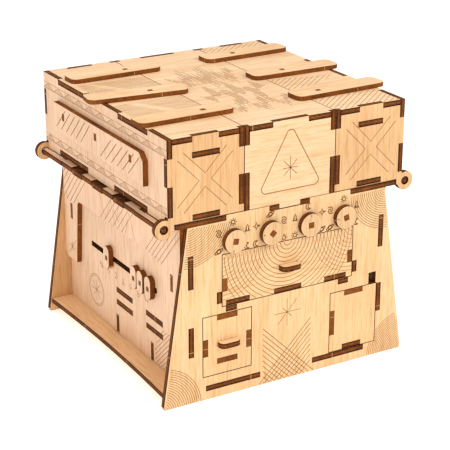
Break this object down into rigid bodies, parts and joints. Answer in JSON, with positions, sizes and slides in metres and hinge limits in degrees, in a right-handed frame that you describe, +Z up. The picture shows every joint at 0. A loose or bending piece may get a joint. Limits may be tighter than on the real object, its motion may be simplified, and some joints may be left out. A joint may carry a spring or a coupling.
{
  "type": "puzzle box",
  "caption": "Laser-cut plywood puzzle box with rotary dials, sliding knobs, drawers, turning roof battens and wing boxes that hinge outward.",
  "frame": {"origin": "middle of the bounding box's bottom face, on the surface the box stands on", "axes": "+X from the left wing to the right wing, +Y from the dials to the back, +Z up"},
  "size_m": [0.1606, 0.1544, 0.1516],
  "materials": {
    "front_plywood": "bare sanded birch veneer, laser-burnt edges",
    "side_plywood": "bare sanded birch veneer, laser-burnt edges",
    "trim_plywood": "bare sanded birch veneer, laser-burnt edges",
    "level_plywood": "bare sanded birch veneer, laser-burnt edges",
    "inner_plywood": "bare sanded birch veneer, laser-burnt edges"
  },
  "bodies": {
    "base_box": {"front_panel": "front_plywood", "back_panel": "front_plywood", "left_side_panel": "side_plywood", "right_side_panel": "side_plywood", "left_side_frame": "side_plywood", "right_side_frame": "side_plywood", "bottom_plate": "level_plywood", "middle_shelf": "inner_plywood", "drawer_partitions": "inner_plywood", "left_drawer_cradle": "inner_plywood", "axle_plate": "inner_plywood", "deck_plate": "level_plywood", "center_front_panel": "front_plywood", "center_back_panel": "front_plywood", "center_walls": "inner_plywood", "center_top_plate": "level_plywood"},
    "main_drawer": {"main_drawer_front": "front_plywood", "main_drawer_floor": "inner_plywood", "main_drawer_walls": "inner_plywood", "main_drawer_handle": "trim_plywood", "main_drawer_lock_comb": "inner_plywood"},
    "left_drawer": {"left_drawer_front": "front_plywood", "left_drawer_floor": "inner_plywood", "left_drawer_walls": "inner_plywood", "left_drawer_handle": "trim_plywood"},
    "right_drawer": {"right_drawer_front": "front_plywood", "right_drawer_floor": "inner_plywood", "right_drawer_walls": "inner_plywood"},
    "dial_1": {"dial_1_knob": "trim_plywood", "dial_1_axle": "inner_plywood"},
    "dial_2": {"dial_2_knob": "trim_plywood", "dial_2_axle": "inner_plywood"},
    "dial_3": {"dial_3_knob": "trim_plywood", "dial_3_axle": "inner_plywood"},
    "dial_4": {"dial_4_knob": "trim_plywood", "dial_4_axle": "inner_plywood"},
    "slider_1": {"slider_1": "trim_plywood"},
    "slider_2": {"slider_2": "trim_plywood"},
    "slider_3": {"slider_3": "trim_plywood"},
    "slider_4": {"slider_4": "trim_plywood"},
    "left_wing": {"left_wing_front": "front_plywood", "left_wing_back": "front_plywood", "left_wing_outer_wall": "side_plywood", "left_wing_inner_wall": "inner_plywood", "left_wing_top": "level_plywood", "left_wing_floor": "inner_plywood", "left_wing_side_plate": "side_plywood"},
    "right_wing": {"right_wing_front": "front_plywood", "right_wing_back": "front_plywood", "right_wing_outer_wall": "side_plywood", "right_wing_inner_wall": "inner_plywood", "right_wing_top": "level_plywood", "right_wing_floor": "inner_plywood", "right_wing_side_plate": "side_plywood"},
    "left_batten_1": {"left_batten_1": "trim_plywood"},
    "left_batten_2": {"left_batten_2": "trim_plywood"},
    "left_batten_3": {"left_batten_3": "trim_plywood"},
    "right_batten_1": {"right_batten_1": "trim_plywood"},
    "right_batten_2": {"right_batten_2": "trim_plywood"},
    "right_batten_3": {"right_batten_3": "trim_plywood"}
  },
  "joints": [
    {"name": "main_drawer_slide", "type": "slide", "parent": "base_box", "child": "main_drawer", "axis": [0, -1, 0], "range_m": [0, 0.1]},
    {"name": "left_drawer_slide", "type": "slide", "parent": "base_box", "child": "left_drawer", "axis": [0, -1, 0], "range_m": [0, 0.07]},
    {"name": "right_drawer_slide", "type": "slide", "parent": "base_box", "child": "right_drawer", "axis": [0, -1, 0], "range_m": [0, 0.07]},
    {"name": "dial_1_turn", "type": "hinge", "parent": "base_box", "child": "dial_1", "pos_m": [-0.0346, -0.07275, 0.0888], "axis": [0, -1, 0], "continuous": true},
    {"name": "dial_2_turn", "type": "hinge", "parent": "base_box", "child": "dial_2", "pos_m": [-0.012, -0.07275, 0.0888], "axis": [0, -1, 0], "continuous": true},
    {"name": "dial_3_turn", "type": "hinge", "parent": "base_box", "child": "dial_3", "pos_m": [0.012, -0.07275, 0.0888], "axis": [0, -1, 0], "continuous": true},
    {"name": "dial_4_turn", "type": "hinge", "parent": "base_box", "child": "dial_4", "pos_m": [0.0346, -0.07275, 0.0888], "axis": [0, -1, 0], "continuous": true},
    {"name": "slider_1_slide", "type": "slide", "parent": "base_box", "child": "slider_1", "axis": [0, 1, 0], "range_m": [-0.0266, 0.0235]},
    {"name": "slider_2_slide", "type": "slide", "parent": "base_box", "child": "slider_2", "axis": [0, 1, 0], "range_m": [-0.0006, 0.0266]},
    {"name": "slider_3_slide", "type": "slide", "parent": "base_box", "child": "slider_3", "axis": [0, 1, 0], "range_m": [-0.002, 0.0006]},
    {"name": "slider_4_slide", "type": "slide", "parent": "base_box", "child": "slider_4", "axis": [0, 1, 0], "range_m": [-0.0035, 0.002]},
    {"name": "left_wing_hinge", "type": "hinge", "parent": "base_box", "child": "left_wing", "pos_m": [-0.075, 0, 0.102], "axis": [0, -1, 0], "range_deg": [0, 95]},
    {"name": "right_wing_hinge", "type": "hinge", "parent": "base_box", "child": "right_wing", "pos_m": [0.075, 0, 0.102], "axis": [0, 1, 0], "range_deg": [0, 95]},
    {"name": "left_batten_1_turn", "type": "hinge", "parent": "left_wing", "child": "left_batten_1", "pos_m": [-0.0345, 0.04905, 0.149], "axis": [0, 0, 1], "range_deg": [-45, 45]},
    {"name": "left_batten_2_turn", "type": "hinge", "parent": "left_wing", "child": "left_batten_2", "pos_m": [-0.0422, 0.00325, 0.149], "axis": [0, 0, 1], "range_deg": [-45, 45]},
    {"name": "left_batten_3_turn", "type": "hinge", "parent": "left_wing", "child": "left_batten_3", "pos_m": [-0.0352, -0.04255, 0.149], "axis": [0, 0, 1], "range_deg": [-45, 45]},
    {"name": "right_batten_1_turn", "type": "hinge", "parent": "right_wing", "child": "right_batten_1", "pos_m": [0.0371, 0.04985, 0.149], "axis": [0, 0, 1], "range_deg": [-45, 45]},
    {"name": "right_batten_2_turn", "type": "hinge", "parent": "right_wing", "child": "right_batten_2", "pos_m": [0.0426, 0.00365, 0.149], "axis": [0, 0, 1], "range_deg": [-45, 45]},
    {"name": "right_batten_3_turn", "type": "hinge", "parent": "right_wing", "child": "right_batten_3", "pos_m": [0.0367, -0.04215, 0.149], "axis": [0, 0, 1], "range_deg": [-45, 45]}
  ]
}
